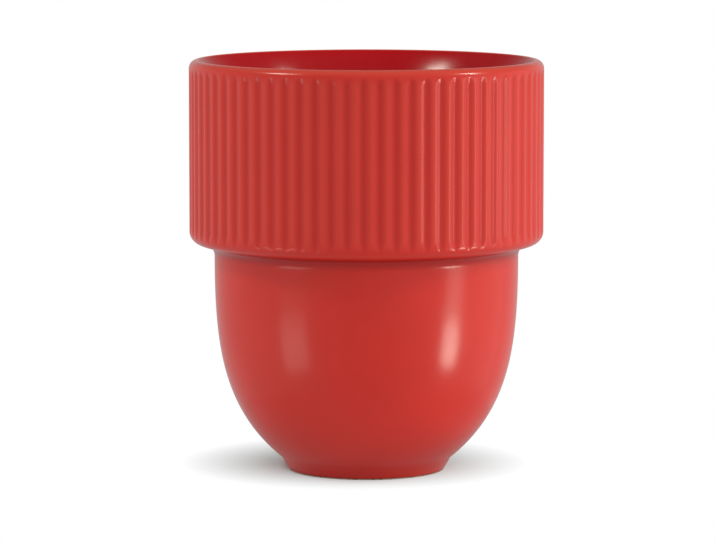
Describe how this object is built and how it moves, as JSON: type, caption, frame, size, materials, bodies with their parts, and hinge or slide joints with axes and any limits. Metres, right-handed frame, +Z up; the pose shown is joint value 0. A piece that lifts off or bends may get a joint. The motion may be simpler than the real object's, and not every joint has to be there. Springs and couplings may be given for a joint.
{
  "type": "cup",
  "caption": "Stacking cup without a handle: a wide ribbed collar on a narrower round bowl with a low foot ring, glazed inside and out, for hot and cold drinks.",
  "frame": {"origin": "middle of the foot ring's bearing face, on the table", "axes": "+Z up along the axis of the cup, -Y towards the viewer of the picture"},
  "size_m": [0.085, 0.085, 0.0988],
  "materials": {
    "stoneware": "bare fired clay, matt and slightly grainy",
    "outside_glaze": "red satin gloss glaze",
    "inside_glaze": "deep red satin gloss glaze"
  },
  "bodies": {
    "root": {"bowl": "stoneware", "ribbed_collar": "stoneware", "foot_ring": "stoneware", "liner_glaze": "inside_glaze", "collar_glaze": "outside_glaze", "bowl_glaze": "outside_glaze", "recess_glaze": "outside_glaze"}
  },
  "joints": []
}
